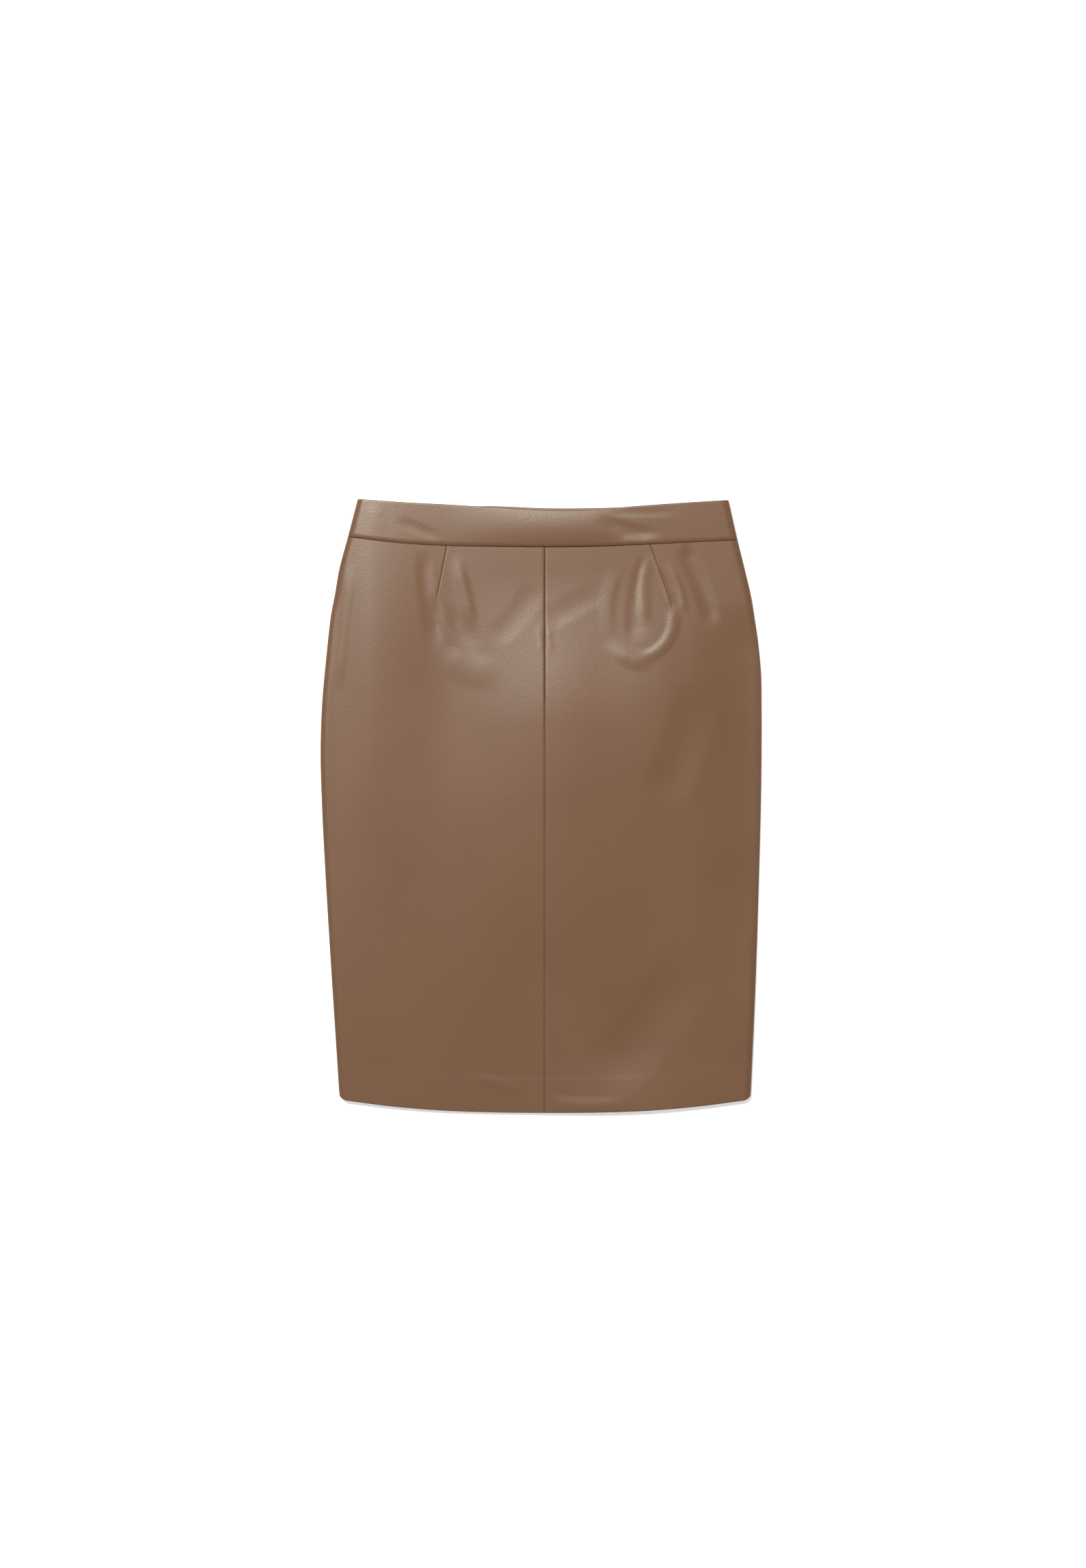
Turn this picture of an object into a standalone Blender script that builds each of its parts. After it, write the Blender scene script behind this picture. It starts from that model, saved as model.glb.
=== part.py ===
"""Pencil midi skirt in leather-effect cloth, laid flat with its front up.

Metres. X runs across the skirt, Y from the hem to the waist, Z up from the surface that it
lies on. The origin is on that surface, under the middle of the skirt. Left and right are
those of someone who looks down at the front with the waist away from them.
"""

from collections import namedtuple

import bmesh
import bpy
import numpy as np

# Driving dimensions
LENGTH = 0.640  # waist corners to the lowest point of the hem
BAND_HEIGHT = 0.0415  # waistband, from its top edge to the waist seam
CENTRE_X = 0.0039  # the centre front and centre back seams lie a little right of the middle
CLOTH = 0.0012  # coated cloth with its knitted backing
BAND_WALL = 0.0022  # waistband: outside, stiffener and inside
HEM_WALL = 0.0022  # cloth doubled by the turned-up hem
HEM_TURN_UP = 0.036
SEAM_GAP = 0.0003

# How the tube lies: a side fold along each edge, flat underneath, and the front on the back
FOLD_REACH = 0.008  # from the side edge in to where the fold is over
SIDE_SEAM_HEIGHT = 0.0044
FOLD_TOP = 0.0088
SETTLE = 0.0010  # how softly the front comes down on the back
PANEL_TUCK = 0.0008  # the panels' top edge lies this much lower than the band's
PANEL_TUCK_REACH = 0.010
BAND_ROLL = 0.0022  # the front band bellies out between its two edges
RELIEF_FADE = 0.030  # folds and hollows fade out this near the side edges

# Each row across the skirt hangs lower in the middle than at the side edges
TOP_DIP = 0.0085
WAIST_SEAM_DIP = 0.0089
HEM_DIP = 0.0142
TOP_DIP_POWER = 1.6
HEM_DIP_POWER = 2.5
HEM_CORNER = 0.0035  # the hem's corners are rounded by this much
HEM_CORNER_REACH = 0.012
BACK_PEEK = 0.0020  # the back band's top edge shows behind the front one, from and to here
BACK_PEEK_FROM = -0.075
BACK_PEEK_TO = 0.118
BACK_PEEK_BLEND = 0.022

# Concealed zip on the inside of the centre back seam, done up
ZIP_LENGTH = 0.200
ZIP_FROM_TOP = 0.004
ZIP_STEP_DOWN = 0.006  # it comes down from the band to the thinner panel over this
TAPE_WIDTH = 0.024
TAPE = 0.0006
COIL_WIDTH = 0.0036
COIL = 0.0012
SLIDER_LENGTH = 0.0090
SLIDER_WIDTH = 0.0056
SLIDER_HEIGHT = 0.0020
SLIDER_BEVEL = 0.0005

# How finely the cloth is divided: round a side fold, from it to the other edge, and down
FOLD_STEPS = 5
FRONT_STEPS = 19
BACK_STEPS = 7
FRONT_BAND_STEPS = 18
BACK_BAND_STEPS = 14
FRONT_ROWS = (15, 11, 4)  # beside the darts, below them, and in the turned-up hem
BACK_ROWS = (6, 8, 4)
FRONT_BAND_ROWS = 6
BACK_BAND_ROWS = 4
UNDER_DARTS = 0.185  # how far down the rows beside the darts go
HEM_STEP = 0.003  # the wall thickens to the hem's over this

TOP_Y = LENGTH / 2
HEM_DOWN = LENGTH - HEM_DIP

# Sections, from the waist to the hem. down is the distance from the waist corners along the
# side edges, left and right are the outline there, dome is how far the front stands above
# the side folds in the middle, or lies below them, and power is how far out it does so.
Section = namedtuple("Section", "down left right dome power")
SECTIONS = (
    Section(0.000, -0.1912, 0.1958, -0.0016, 6.0),
    Section(0.0415, -0.2018, 0.2053, -0.0010, 6.0),
    Section(0.074, -0.2105, 0.2133, -0.0002, 5.0),
    Section(0.102, -0.2154, 0.2197, 0.0006, 4.0),
    Section(0.123, -0.2194, 0.2230, 0.0017, 3.6),
    Section(0.140, -0.2215, 0.2256, 0.0031, 3.4),
    Section(0.161, -0.2237, 0.2280, 0.0049, 3.2),
    Section(0.179, -0.2255, 0.2295, 0.0061, 3.2),
    Section(0.214, -0.2285, 0.2301, 0.0076, 3.2),
    Section(0.263, -0.2301, 0.2301, 0.0084, 3.2),
    Section(0.319, -0.2287, 0.2294, 0.0077, 3.2),
    Section(0.389, -0.2252, 0.2276, 0.0056, 3.2),
    Section(0.494, -0.2188, 0.2244, 0.0016, 4.0),
    Section(0.579, -0.2133, 0.2209, -0.0018, 5.0),
    Section(HEM_DOWN, -0.2103, 0.2188, -0.0034, 6.0),
)

# Soft folds of the front. Each follows a bend from its start past its middle to its end;
# width is from its crest to where it is over, and a hollow has a height below zero.
Fold = namedtuple("Fold", "start middle end width height")
FOLDS = {
    "beside_left_dart": Fold((-0.090, 0.256), (-0.082, 0.222), (-0.074, 0.184), 0.016, 0.0018),
    "under_left_dart": Fold((-0.111, 0.206), (-0.106, 0.166), (-0.060, 0.156), 0.024, 0.0022),
    "beside_right_dart": Fold((0.111, 0.260), (0.101, 0.226), (0.107, 0.184), 0.014, 0.0020),
    "under_right_dart": Fold((0.140, 0.202), (0.139, 0.158), (0.092, 0.142), 0.024, 0.0030),
    "outside_right_dart": Fold((0.129, 0.255), (0.142, 0.226), (0.149, 0.196), 0.012, 0.0012),
    "right_hip": Fold((0.155, 0.266), (0.174, 0.229), (0.186, 0.188), 0.018, 0.0018),
    "left_hip": Fold((-0.190, 0.262), (-0.204, 0.180), (-0.207, 0.080), 0.016, 0.0012),
    "right_thigh": Fold((0.150, 0.120), (0.140, 0.010), (0.070, -0.090), 0.045, -0.0014),
    "right_hem": Fold((0.060, -0.286), (0.120, -0.236), (0.205, -0.196), 0.040, -0.0016),
    "left_hem": Fold((-0.160, -0.272), (-0.090, -0.276), (-0.020, -0.290), 0.020, 0.0010),
}

# Rounded hollows beside the darts, where nothing fills the shape that they give the cloth
Hollow = namedtuple("Hollow", "centre reach_x reach_y depth")
HOLLOWS = {
    "left_of_centre": Hollow((-0.066, 0.212), 0.040, 0.042, 0.0030),
    "right_of_centre": Hollow((0.094, 0.208), 0.028, 0.046, 0.0040),
}

Finish = namedtuple("Finish", "colour roughness")
CLOTH_FINISH = Finish((0.205, 0.122, 0.075, 1.0), 0.38)
ZIP_FINISH = Finish((0.150, 0.090, 0.058, 1.0), 0.60)


def smooth_step(value):
    value = np.clip(value, 0.0, 1.0)
    return value * value * (3.0 - 2.0 * value)


def along_sections(down, column):
    """One column of the section table at any distance down, by a smooth curve through its rows."""
    stations = np.array([section.down for section in SECTIONS])
    values = np.array([getattr(section, column) for section in SECTIONS])
    slopes = np.gradient(values, stations)
    down = np.clip(down, stations[0], stations[-1])
    lower = np.clip(np.searchsorted(stations, down, side="right") - 1, 0, len(stations) - 2)
    span = stations[lower + 1] - stations[lower]
    t = (down - stations[lower]) / span
    start = (1 + 2 * t) * (1 - t) ** 2 * values[lower] + t * (1 - t) ** 2 * span * slopes[lower]
    end = t * t * (3 - 2 * t) * values[lower + 1] + t * t * (t - 1) * span * slopes[lower + 1]
    return start + end


def fold_height(fold, x, y):
    """A rounded ridge, or a trough, along the fold's bend, fading out at both ends."""
    samples, at_ends = 24, 0.25
    t = np.linspace(0.0, 1.0, samples)
    weights = np.stack([(1 - t) ** 2, 2 * t * (1 - t), t * t])
    line = weights.T @ np.array([fold.start, fold.middle, fold.end])
    away = np.hypot(x[..., None] - line[:, 0], y[..., None] - line[:, 1])
    nearest = away.argmin(axis=-1)
    crest = np.cos(np.clip(away.min(axis=-1) / fold.width, 0.0, 1.0) * np.pi / 2) ** 2
    ends = smooth_step(4 * t) * smooth_step(4 * (1 - t))
    return fold.height * crest * (at_ends + (1.0 - at_ends) * ends[nearest])


def hollow_height(hollow, x, y):
    across = (x - hollow.centre[0]) / hollow.reach_x
    along = (y - hollow.centre[1]) / hollow.reach_y
    return -hollow.depth * np.clip(1.0 - across**2 - along**2, 0.0, 1.0) ** 1.5


def relief(x, y):
    folds = sum(fold_height(fold, x, y) for fold in FOLDS.values())
    return folds + sum(hollow_height(hollow, x, y) for hollow in HOLLOWS.values())


def dip_of(across, down):
    """How much lower than its side edges a row lies, across running from -1 to 1."""
    share = down / HEM_DOWN
    power = TOP_DIP_POWER + (HEM_DIP_POWER - TOP_DIP_POWER) * share
    depth = np.interp(down, (0.0, BAND_HEIGHT, HEM_DOWN), (TOP_DIP, WAIST_SEAM_DIP, HEM_DIP))
    return depth * (1.0 - np.abs(across) ** power)


def panel_columns(down, side, until, flat_steps):
    """x along the rows of a panel, from its side edge round the fold and on to its other edge."""
    edge = along_sections(down, "left" if side < 0 else "right")
    turn = np.linspace(0.0, np.pi / 2, FOLD_STEPS + 1)
    folded = FOLD_REACH * (1.0 - np.cos(turn))
    width = np.abs(until - edge)
    level = np.linspace(0.0, 1.0, flat_steps + 1)[1:]
    inward = np.hstack(
        [
            np.broadcast_to(folded, (len(down), len(folded))),
            FOLD_REACH + np.outer(width - FOLD_REACH, level),
        ]
    )
    return edge[:, None] - side * inward


def row_places(x, down):
    """Each point's share across and round the fold, its distance from the side edge, and its y."""
    left = along_sections(down, "left")[:, None]
    right = along_sections(down, "right")[:, None]
    across = (2 * x - left - right) / (right - left)
    edge = np.minimum(x - left, right - x)
    y = TOP_Y - down[:, None] - dip_of(across, down[:, None])
    turn = np.clip(edge / FOLD_REACH, 0.0, 1.0)
    near_hem = np.clip(1.0 - (HEM_DOWN - down[:, None]) / HEM_CORNER_REACH, 0.0, 1.0)
    return across, turn, edge, y + HEM_CORNER * near_hem * (1.0 - turn) ** 2


def resting_on_back(z, wall):
    """Heights that stay as they are, or ease to a stop where the cloth meets the back below."""
    lowest = (2 * wall + SEAM_GAP)[:, None]
    above = z - lowest
    return lowest + (above + np.sqrt(above**2 + SETTLE**2)) / 2


def front_points(x, down, wall):
    across, turn, edge, y = row_places(x, down)
    seam = SIDE_SEAM_HEIGHT + SEAM_GAP / 2
    z = seam + (FOLD_TOP - seam) * np.sqrt(1.0 - (1.0 - turn) ** 2)
    dome = along_sections(down, "dome")[:, None]
    power = along_sections(down, "power")[:, None]
    z = z + dome * (1.0 - np.abs(across) ** power)
    z = z + relief(x, y) * smooth_step(edge / RELIEF_FADE)
    inside = smooth_step(turn)
    return np.stack([x, y, z + inside * (resting_on_back(z, wall) - z)], axis=-1)


def back_points(x, down):
    _, turn, _, y = row_places(x, down)
    seam = SIDE_SEAM_HEIGHT - SEAM_GAP / 2
    return np.stack([x, y, seam * (1.0 - np.sqrt(1.0 - (1.0 - turn) ** 2))], axis=-1)


def inward_normals(outer, facing, seams):
    """Unit normals into the wall. At a seam they stay in the seam's own plane."""
    rows = np.gradient(outer, axis=0)
    columns = np.gradient(outer, axis=1)
    normal = np.cross(columns, rows)
    normal *= -facing * np.sign(normal[..., 2].mean())
    x_axis, y_axis, z_axis = 0, 1, 2
    normal[0, :, y_axis] = 0.0
    normal[-1, :, y_axis] = 0.0
    for column, seam in seams.items():
        normal[:, column, z_axis if seam == "side" else x_axis] = 0.0
    return normal / np.linalg.norm(normal, axis=-1, keepdims=True)


def grid_faces(rows, columns, first):
    for row in range(rows - 1):
        for column in range(columns - 1):
            corner = first + row * columns + column
            yield (corner, corner + 1, corner + columns + 1, corner + columns)


def border(rows, columns):
    """The grid's points in order round its four edges."""
    top = [column for column in range(columns)]
    right = [row * columns + columns - 1 for row in range(1, rows)]
    bottom = [(rows - 1) * columns + column for column in range(columns - 2, -1, -1)]
    left = [row * columns for row in range(rows - 2, 0, -1)]
    return top + right + bottom + left


def material(name, finish):
    made = bpy.data.materials.new(name)
    made.use_nodes = True
    shader = made.node_tree.nodes["Principled BSDF"]
    shader.inputs["Base Color"].default_value = finish.colour
    shader.inputs["Roughness"].default_value = finish.roughness
    shader.inputs["Metallic"].default_value = 0.0
    return made


def add_object(name, shape, finish):
    """The finished shape as an object of its own, with a material of its own."""
    mesh = bpy.data.meshes.new(name)
    shape.to_mesh(mesh)
    shape.free()
    mesh.materials.append(material(name + "_finish", finish))
    made = bpy.data.objects.new(name, mesh)
    bpy.context.scene.collection.objects.link(made)
    return made


def cloth_wall(name, outer, thickness, facing, seams):
    """A closed wall of cloth: the outer points, the same points moved in, and a rim between them."""
    inner = outer + inward_normals(outer, facing, seams) * thickness[:, None, None]
    rows, columns = outer.shape[:2]
    shape = bmesh.new()
    points = [shape.verts.new(p) for p in np.vstack([outer.reshape(-1, 3), inner.reshape(-1, 3)])]
    count = rows * columns
    for face in grid_faces(rows, columns, 0):
        shape.faces.new([points[i] for i in face])
    for face in grid_faces(rows, columns, count):
        shape.faces.new([points[i] for i in reversed(face)])
    rim = border(rows, columns)
    for here, there in zip(rim, rim[1:] + rim[:1]):
        shape.faces.new([points[there], points[here], points[here + count], points[there + count]])
    bmesh.ops.recalc_face_normals(shape, faces=shape.faces)
    made = add_object(name, shape, CLOTH_FINISH)
    made.data.shade_smooth()
    made.data.set_sharp_from_angle(angle=np.radians(50))


def body_rows(counts):
    """Distances down of a panel's rows, in three stretches with a count of rows for each."""
    beside_darts, below_darts, in_hem = counts
    turn_up = HEM_DOWN - HEM_TURN_UP
    return np.concatenate(
        [
            np.linspace(BAND_HEIGHT + SEAM_GAP, UNDER_DARTS, beside_darts, endpoint=False),
            np.linspace(UNDER_DARTS, turn_up - HEM_STEP / 2, below_darts),
            np.linspace(turn_up + HEM_STEP / 2, HEM_DOWN, in_hem),
        ]
    )


def body_wall(down):
    """Wall thickness of each row, doubled below the top of the turned-up hem."""
    return np.where(down > HEM_DOWN - HEM_TURN_UP, HEM_WALL, CLOTH)


def front_panel(name, side):
    down = body_rows(FRONT_ROWS)
    wall = body_wall(down)
    x = panel_columns(down, side, CENTRE_X + side * SEAM_GAP / 2, FRONT_STEPS)
    outer = front_points(x, down, wall)
    tuck = 1.0 - smooth_step((down - BAND_HEIGHT) / PANEL_TUCK_REACH)
    inside = smooth_step(np.abs(x - x[:, :1]) / FOLD_REACH)
    outer[..., 2] -= PANEL_TUCK * tuck[:, None] * inside
    cloth_wall(name, outer, wall, 1, {0: "side", -1: "centre"})


def back_panel(name, side):
    down = body_rows(BACK_ROWS)
    x = panel_columns(down, side, CENTRE_X + side * SEAM_GAP / 2, BACK_STEPS)
    cloth_wall(name, back_points(x, down), body_wall(down), -1, {0: "side", -1: "centre"})


def front_band():
    """The front waistband in one piece: both side folds and the belly between its edges."""
    down = np.linspace(0.0, BAND_HEIGHT, FRONT_BAND_ROWS)
    left = panel_columns(down, -1, CENTRE_X, FRONT_BAND_STEPS)
    right = panel_columns(down, 1, CENTRE_X, FRONT_BAND_STEPS)
    x = np.hstack([left, right[:, -2::-1]])
    wall = np.full(len(down), BAND_WALL)
    outer = front_points(x, down, wall)
    across, turn, _, _ = row_places(x, down)
    belly = 1.0 - (2.0 * down / BAND_HEIGHT - 1.0) ** 2
    outer[..., 2] += BAND_ROLL * belly[:, None] * (1.0 - across**2) * turn
    cloth_wall("waistband_front", outer, wall, 1, {0: "side", -1: "side"})


def back_band(name, side):
    """Half of the back waistband. Its top edge stands a little above the front one's."""
    down = np.linspace(0.0, BAND_HEIGHT, BACK_BAND_ROWS)
    x = panel_columns(down, side, CENTRE_X + side * SEAM_GAP / 2, BACK_BAND_STEPS)
    outer = back_points(x, down)
    peek = smooth_step((x - BACK_PEEK_FROM) / BACK_PEEK_BLEND)
    peek *= smooth_step((BACK_PEEK_TO - x) / BACK_PEEK_BLEND)
    outer[..., 1] += BACK_PEEK * peek * (1.0 - down / BAND_HEIGHT)[:, None]
    wall = np.full(len(down), BAND_WALL)
    cloth_wall(name, outer, wall, -1, {0: "side", -1: "centre"})


def zip_strip(name, width, height, above, top):
    """A flat strip down the zip, from top, at a height above the cloth that steps down with it."""
    waist_seam = TOP_Y - BAND_HEIGHT - WAIST_SEAM_DIP
    bottom = TOP_Y - TOP_DIP - ZIP_FROM_TOP - ZIP_LENGTH
    rings = (
        (top, BAND_WALL),
        (waist_seam - ZIP_STEP_DOWN, BAND_WALL),
        (waist_seam - 2 * ZIP_STEP_DOWN, CLOTH),
        (bottom, CLOTH),
    )
    corners = ((-width / 2, 0.0), (width / 2, 0.0), (width / 2, height), (-width / 2, height))
    shape = bmesh.new()
    loops = []
    for y, cloth in rings:
        base = cloth + above
        loops.append([shape.verts.new((CENTRE_X + x, y, base + z)) for x, z in corners])
    for upper, lower in zip(loops, loops[1:]):
        for i in range(len(corners)):
            j = (i + 1) % len(corners)
            shape.faces.new([upper[i], upper[j], lower[j], lower[i]])
    shape.faces.new(loops[0])
    shape.faces.new(loops[-1])
    bmesh.ops.recalc_face_normals(shape, faces=shape.faces)
    add_object(name, shape, ZIP_FINISH)


def zip_slider(top):
    """Slider at the closed end of the zip, on the tape above the end of the coil."""
    shape = bmesh.new()
    bmesh.ops.create_cube(shape, size=1.0)
    bmesh.ops.scale(shape, vec=(SLIDER_WIDTH, SLIDER_LENGTH, SLIDER_HEIGHT), verts=shape.verts)
    bmesh.ops.bevel(
        shape,
        geom=shape.edges[:],
        offset=SLIDER_BEVEL,
        offset_type="OFFSET",
        segments=2,
        profile=0.5,
        affect="EDGES",
    )
    made = add_object("zip_slider", shape, ZIP_FINISH)
    made.data.shade_smooth()
    base = BAND_WALL + TAPE + 2 * SEAM_GAP
    made.location = (CENTRE_X, top - SLIDER_LENGTH / 2, base + SLIDER_HEIGHT / 2)


def concealed_zip():
    top = TOP_Y - TOP_DIP - ZIP_FROM_TOP
    coil_top = top - SLIDER_LENGTH - SEAM_GAP
    zip_strip("zip_tape", TAPE_WIDTH, TAPE, SEAM_GAP, top)
    zip_strip("zip_coil", COIL_WIDTH, COIL, TAPE + 2 * SEAM_GAP, coil_top)
    zip_slider(top)


def clear_scene():
    for old in list(bpy.data.objects):
        bpy.data.objects.remove(old)


def main():
    clear_scene()
    for name, side in (("left", -1), ("right", 1)):
        front_panel(f"front_{name}", side)
        back_panel(f"back_{name}", side)
        back_band(f"waistband_back_{name}", side)
    front_band()
    concealed_zip()


main()
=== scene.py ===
import math

import bpy
import numpy as np
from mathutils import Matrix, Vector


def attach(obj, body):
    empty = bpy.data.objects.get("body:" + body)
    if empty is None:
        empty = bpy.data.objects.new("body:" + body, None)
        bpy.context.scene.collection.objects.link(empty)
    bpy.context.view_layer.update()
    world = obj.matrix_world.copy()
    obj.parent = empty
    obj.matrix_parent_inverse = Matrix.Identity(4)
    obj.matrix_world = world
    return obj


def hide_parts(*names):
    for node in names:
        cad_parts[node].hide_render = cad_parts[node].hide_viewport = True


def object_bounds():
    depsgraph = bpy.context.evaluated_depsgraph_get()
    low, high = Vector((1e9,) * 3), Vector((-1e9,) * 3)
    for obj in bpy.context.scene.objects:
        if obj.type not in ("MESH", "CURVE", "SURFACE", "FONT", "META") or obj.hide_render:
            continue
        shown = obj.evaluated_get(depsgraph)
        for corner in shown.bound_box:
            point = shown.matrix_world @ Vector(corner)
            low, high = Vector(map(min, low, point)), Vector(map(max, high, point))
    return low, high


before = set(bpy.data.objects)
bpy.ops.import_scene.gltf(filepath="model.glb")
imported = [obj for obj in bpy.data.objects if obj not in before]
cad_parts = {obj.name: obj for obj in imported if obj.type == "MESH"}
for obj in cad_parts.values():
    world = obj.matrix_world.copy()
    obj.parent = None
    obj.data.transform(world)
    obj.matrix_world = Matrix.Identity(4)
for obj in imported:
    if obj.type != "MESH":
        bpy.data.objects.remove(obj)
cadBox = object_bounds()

# Looks of a midi skirt in leather-effect cloth, laid flat with its front up.
# Metres. X runs across, Y from the hem to the waist, Z up. Left and right are the viewer's.

skirt = {
    "bandHeight": 0.0415,
    "centreX": 0.0039,  # the centre seams lie a little right of the middle
    "cloth": 0.0012,
    "bandWall": 0.0022,
    "hemWall": 0.0022,
    "hemTurnUp": 0.036,
    "seamGap": 0.00006,
    "hemWallReach": 0.003,  # the wall thickens to the hem's over this
    "foldReach": 0.008,  # a side fold, from the edge in to where it is over
    "foldColumns": 13,
    "sideSeamHeight": 0.0044,
    "foldTop": 0.0088,
    "settle": 0.0010,  # how softly the front comes down on the back
    "reliefFade": 0.020,  # the front's creases fade out this near the side edges
    "rightSink": 0.0034,  # how much lower the front lies along its right side
    "rightSinkReach": 0.075,
    "rightSinkIn": (0.10, 0.06),  # how far down it starts, and over what length it comes in
    "rightSinkOut": (0.56, 0.16),  # where it ends, and over what length it goes out
    "hemCorner": 0.0035,  # the hem's corners are rounded by this much
    "hemCornerReach": 0.012,
    "edgeRound": 0.48,  # share of the wall that each face loses at a cut edge
    "sharpAngle": 55.0,  # degrees; sharper bends than this are shaded as edges
}
topY = cadBox[1][1]
hemDown = 0.6258  # from the waist corners to the hem's corners
turnUpDown = hemDown - skirt["hemTurnUp"]

# Where the skirt's sides lie, from the waist down: down, left, right.
sideTable = np.array(
    [
        (0.0, -0.1912, 0.1958),
        (0.0415, -0.2018, 0.2053),
        (0.074, -0.2105, 0.2133),
        (0.102, -0.2154, 0.2197),
        (0.123, -0.2194, 0.2230),
        (0.140, -0.2215, 0.2256),
        (0.161, -0.2237, 0.2280),
        (0.179, -0.2255, 0.2295),
        (0.214, -0.2285, 0.2301),
        (0.263, -0.2301, 0.2301),
        (0.319, -0.2287, 0.2294),
        (0.389, -0.2252, 0.2276),
        (0.494, -0.2188, 0.2244),
        (0.579, -0.2133, 0.2209),
        (hemDown, -0.2103, 0.2188),
    ]
)

# How far the edges and the waist seam dip between the skirt's sides, in millimetres.
dips = {
    "across": (-1.0, -0.75, -0.5, -0.25, 0.0, 0.25, 0.5, 0.75, 1.0),
    "frontTop": (0.0, 3.5, 6.0, 9.0, 11.5, 11.5, 7.5, 4.0, 1.0),
    "backTop": (0.5, 4.5, 7.0, 7.0, 9.0, 9.0, 7.5, 5.0, 1.0),
    "seam": (-1.5, 4.5, 7.5, 8.5, 9.0, 8.5, 6.5, 4.0, 1.5),
    "hem": (0.0, 7.0, 11.5, 13.5, 14.0, 13.5, 11.5, 7.0, 0.0),
}


def smoothStep(value):
    value = np.clip(value, 0.0, 1.0)
    return value * value * (3.0 - 2.0 * value)


def curveWeights(stations, at):
    # how much of each station's value a smooth curve through them takes at each place
    stations = np.asarray(stations)
    at = np.clip(at, stations[0], stations[-1])
    lower = np.clip(np.searchsorted(stations, at, side="right") - 1, 0, len(stations) - 2)
    span = stations[lower + 1] - stations[lower]
    t = (at - stations[lower]) / span
    start, startSlope = (1 + 2 * t) * (1 - t) ** 2, t * (1 - t) ** 2 * span
    end, endSlope = t * t * (3 - 2 * t), t * t * (t - 1) * span
    weights = []
    for unit in np.eye(len(stations)):
        slope = np.gradient(unit, stations)
        fromStart = start * unit[lower] + startSlope * slope[lower]
        fromEnd = end * unit[lower + 1] + endSlope * slope[lower + 1]
        weights.append(fromStart + fromEnd)
    return np.array(weights)


def sidesAt(down):
    # x of the left and right edges
    return np.tensordot(sideTable[:, 1:], curveWeights(sideTable[:, 0], down), (0, 0))


def dipOf(across, down, top="frontTop"):
    # how much lower a row runs at each share across than its ends
    weights = curveWeights(dips["across"], across)
    topDip, seamDip, hemDip = (
        np.tensordot(np.array(dips[name]) / 1000, weights, (0, 0)) for name in (top, "seam", "hem")
    )
    inBand = np.clip(down / skirt["bandHeight"], 0.0, 1.0)
    below = np.clip((down - skirt["bandHeight"]) / (hemDown - skirt["bandHeight"]), 0.0, 1.0)
    return topDip + (seamDip - topDip) * inBand + (hemDip - seamDip) * below


def rowPlaces(x, down, top="frontTop"):
    # share across, share round the side fold, distance from the side edge, and y
    left, right = sidesAt(down)[..., None]
    across = (2 * x - left - right) / (right - left)
    edge = np.minimum(x - left, right - x)
    turn = np.clip(edge / skirt["foldReach"], 0.0, 1.0)
    y = topY - down[:, None] - dipOf(across, down[:, None], top)
    nearHem = np.clip(1.0 - (hemDown - down[:, None]) / skirt["hemCornerReach"], 0.0, 1.0)
    return across, turn, edge, y + skirt["hemCorner"] * nearHem * (1.0 - turn) ** 2


# How the front stands above its side folds: broad soft forms, each rising from its top down to
# its crest and falling away to its foot, full at its middle and gone at its reach to the left
# and right. Heights are in millimetres.
broadForms = {
    "crown": dict(top=0.245, crest=0.085, foot=-0.300, middle=0.030, reach=(0.150, 0.190), high=7.5),
    "leftHip": dict(top=0.420, crest=0.180, foot=-0.160, middle=-0.172, reach=(0.045, 0.085), high=3.5),
    "rightHip": dict(top=0.240, crest=0.110, foot=-0.100, middle=0.130, reach=(0.070, 0.090), high=2.0),
    "lowerFront": dict(top=0.020, crest=-0.240, foot=-0.900, middle=0.000, reach=(0.215, 0.220), high=-2.8),
    "rightHem": dict(top=-0.245, crest=-0.335, foot=-0.500, middle=0.090, reach=(0.130, 0.110), high=3.0),
}


def broadHeight(form, x, y):
    above = smoothStep((form["top"] - y) / (form["top"] - form["crest"]))
    below = smoothStep((y - form["foot"]) / (form["crest"] - form["foot"]))
    reach = np.where(x < form["middle"], form["reach"][0], form["reach"][1])
    side = smoothStep(1.0 - np.abs(x - form["middle"]) / reach)
    return form["high"] / 1000 * above * below * side


def crease(path, wide, high, fade=(0.3, 0.3)):
    # a ridge, or a trough where high is below nothing: the path's guide points, its width to
    # the left and right of the way it runs, its height in millimetres, and the share of each
    # end that fades out
    return dict(path=path, wide=wide, high=high, fade=fade)


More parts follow.
